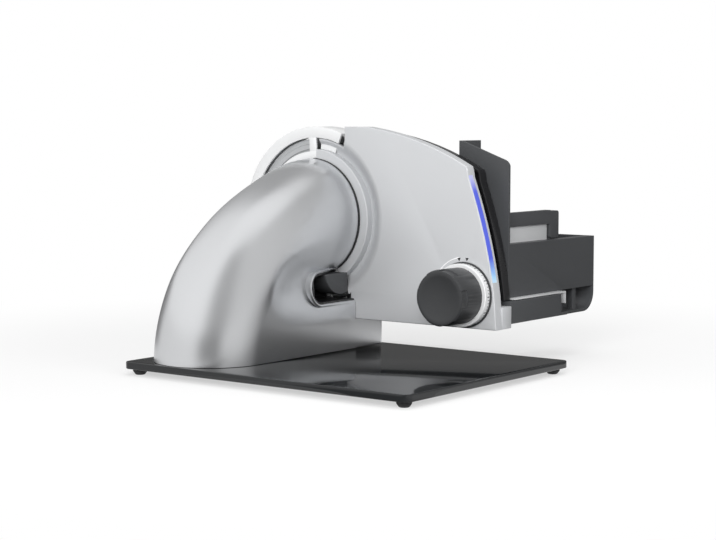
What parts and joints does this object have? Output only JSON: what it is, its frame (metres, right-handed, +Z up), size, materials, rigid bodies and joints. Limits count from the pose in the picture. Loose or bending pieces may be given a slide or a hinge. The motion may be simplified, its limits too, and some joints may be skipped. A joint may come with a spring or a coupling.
{
  "type": "food slicer",
  "caption": "Electric food slicer on a glass base: horn-shaped motor housing, round blade in an open guard ring, thickness plate with knob, and a sliding carriage with pusher.",
  "frame": {"origin": "under the middle of the whole slicer, on the plane its feet stand on", "axes": "+Z up, +X along the carriage's travel towards the user, +Y from the motor side to the food side"},
  "size_m": [0.371, 0.421, 0.239],
  "materials": {
    "glass_base": "polished black glass",
    "rubber": "soft black rubber",
    "cast_metal": "satin metallic grey",
    "silver_casting": "fine satin silver",
    "bright_casting": "bright satin",
    "steel": "brushed stainless",
    "dark_plastic": "fine grained black",
    "black_trim": "smooth black",
    "nylon": "natural white",
    "bronze": "sintered",
    "light_strip": "clear diffuser lit blue white"
  },
  "bodies": {
    "base": {"base_plate": "glass_base", "foot_1": "rubber", "foot_2": "rubber", "foot_3": "rubber", "foot_4": "rubber", "horn_shell": "cast_metal", "bottom_cover": "dark_plastic", "base_screw_1": "steel", "base_screw_2": "steel", "base_screw_3": "steel", "cord_gland": "black_trim", "gear_frame": "silver_casting", "rear_bearing": "bronze", "front_bearing": "bronze", "motor_can": "steel", "motor_end_cap": "dark_plastic", "guard_ring": "bright_casting", "housing": "silver_casting", "led_strip": "light_strip", "rail_bed": "dark_plastic", "rail_end_cap": "dark_plastic", "rail_stop": "dark_plastic", "switch_pocket": "black_trim", "switch_body": "dark_plastic"},
    "blade_unit": {"blade": "steel", "blade_cap": "steel", "blade_carrier": "silver_casting", "blade_screw_1": "steel", "blade_screw_2": "steel", "blade_screw_3": "steel", "blade_shaft": "steel", "drive_gear": "nylon"},
    "rotor_unit": {"motor_rotor": "steel", "motor_fan": "dark_plastic", "drive_worm": "steel"},
    "stop_unit": {"stop_plate": "dark_plastic", "stop_post": "silver_casting", "stop_screw": "steel"},
    "knob_unit": {"knob": "dark_plastic", "scale_ring": "silver_casting"},
    "carriage": {"carriage_tray": "steel", "carriage_body": "dark_plastic", "wall_plate": "steel", "glide_1": "nylon", "glide_2": "nylon"},
    "pusher": {"pusher_arm": "dark_plastic", "pusher_plate": "dark_plastic"},
    "switch_button_unit": {"switch_button": "black_trim"}
  },
  "joints": [
    {"name": "blade_spin", "type": "hinge", "parent": "base", "child": "blade_unit", "pos_m": [-0.0915, 0.0245, 0.145], "axis": [0, 1, 0], "continuous": true},
    {"name": "motor_spin", "type": "hinge", "parent": "base", "child": "rotor_unit", "pos_m": [-0.0645, -0.0755, 0.064], "axis": [0, 0, 1], "continuous": true},
    {"name": "knob_turn", "type": "hinge", "parent": "base", "child": "knob_unit", "pos_m": [0.0985, -0.0155, 0.076], "axis": [0, 1, 0], "range_deg": [0, 330]},
    {"name": "stop_slide", "type": "slide", "parent": "base", "child": "stop_unit", "axis": [0, -1, 0], "range_m": [0, 0.02]},
    {"name": "carriage_slide", "type": "slide", "parent": "base", "child": "carriage", "axis": [-1, 0, 0], "range_m": [0, 0.185]},
    {"name": "pusher_slide", "type": "slide", "parent": "carriage", "child": "pusher", "axis": [0, 1, 0], "range_m": [0, 0.055]},
    {"name": "switch_press", "type": "slide", "parent": "base", "child": "switch_button_unit", "axis": [-1, 0, 0], "range_m": [0, 0.003], "stiffness_N_per_m": 300}
  ],
  "couplings": [
    {"joint": "motor_spin", "follows": "blade_spin", "ratio": 20},
    {"joint": "knob_turn", "follows": "stop_slide", "rad_per_m": 287.9}
  ]
}
